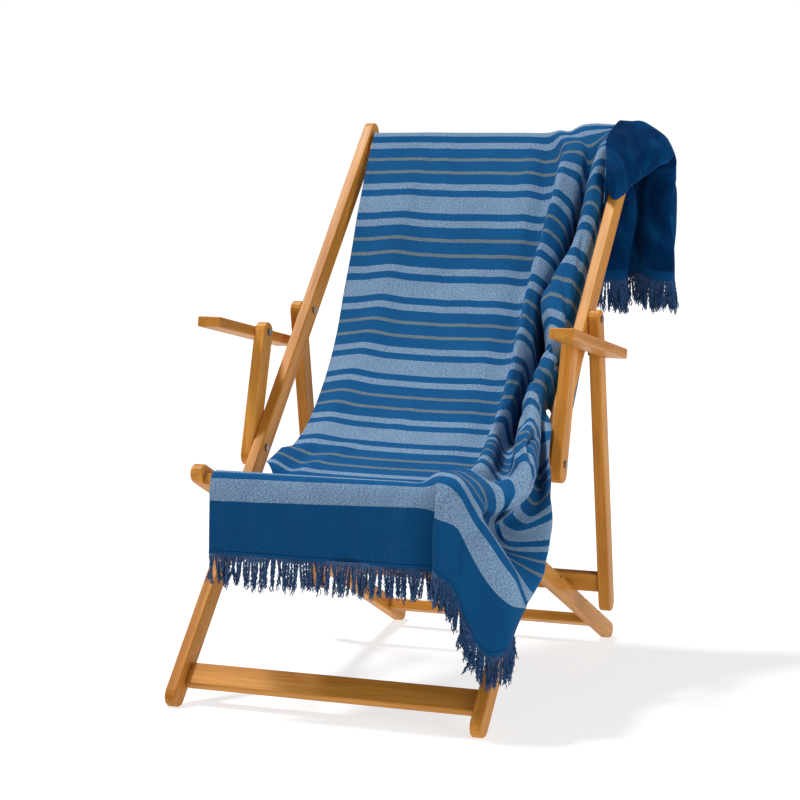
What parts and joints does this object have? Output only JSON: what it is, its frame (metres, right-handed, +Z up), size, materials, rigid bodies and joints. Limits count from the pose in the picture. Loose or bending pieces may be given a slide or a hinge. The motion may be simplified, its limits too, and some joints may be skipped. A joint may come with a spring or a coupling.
{
  "type": "hammam towel draped over a wooden folding deck chair",
  "caption": "Striped hammam towel with fringed ends, draped over the seat and back of a wooden folding deck chair and folded over its top bar.",
  "frame": {"origin": "bottom centre of the bounding box, on the floor", "axes": "+Z up, +Y from the front of the chair towards its back, +X across it to the right as seen from the front"},
  "size_m": [0.7602, 1.028, 1.0615],
  "materials": {
    "wood": "oiled hardwood, satin",
    "steel": "plain steel bolts and spacers",
    "cloth": "flat-woven cotton with velour back, matt",
    "yarn": "twisted cotton yarn, matt"
  },
  "bodies": {
    "root": {"long_rail_left": "wood", "long_rail_right": "wood", "seat_rail_left": "wood", "seat_rail_right": "wood", "prop_leg_left": "wood", "prop_leg_right": "wood", "arm_support_left": "wood", "arm_support_right": "wood", "armrest_left": "wood", "armrest_right": "wood", "foot_bar": "wood", "rear_bar": "wood", "prop_bar": "wood", "top_bar": "wood", "front_bar": "wood", "seat_bolt_left": "steel", "seat_bolt_right": "steel", "prop_bolt_left": "steel", "prop_bolt_right": "steel", "support_bolt_left": "steel", "support_bolt_right": "steel", "arm_bolt_left": "steel", "arm_bolt_right": "steel", "rear_arm_bolt_left": "steel", "rear_arm_bolt_right": "steel", "spacer_left": "steel", "spacer_right": "steel", "towel": "cloth", "fringe_front": "yarn", "fringe_back": "yarn"}
  },
  "joints": []
}
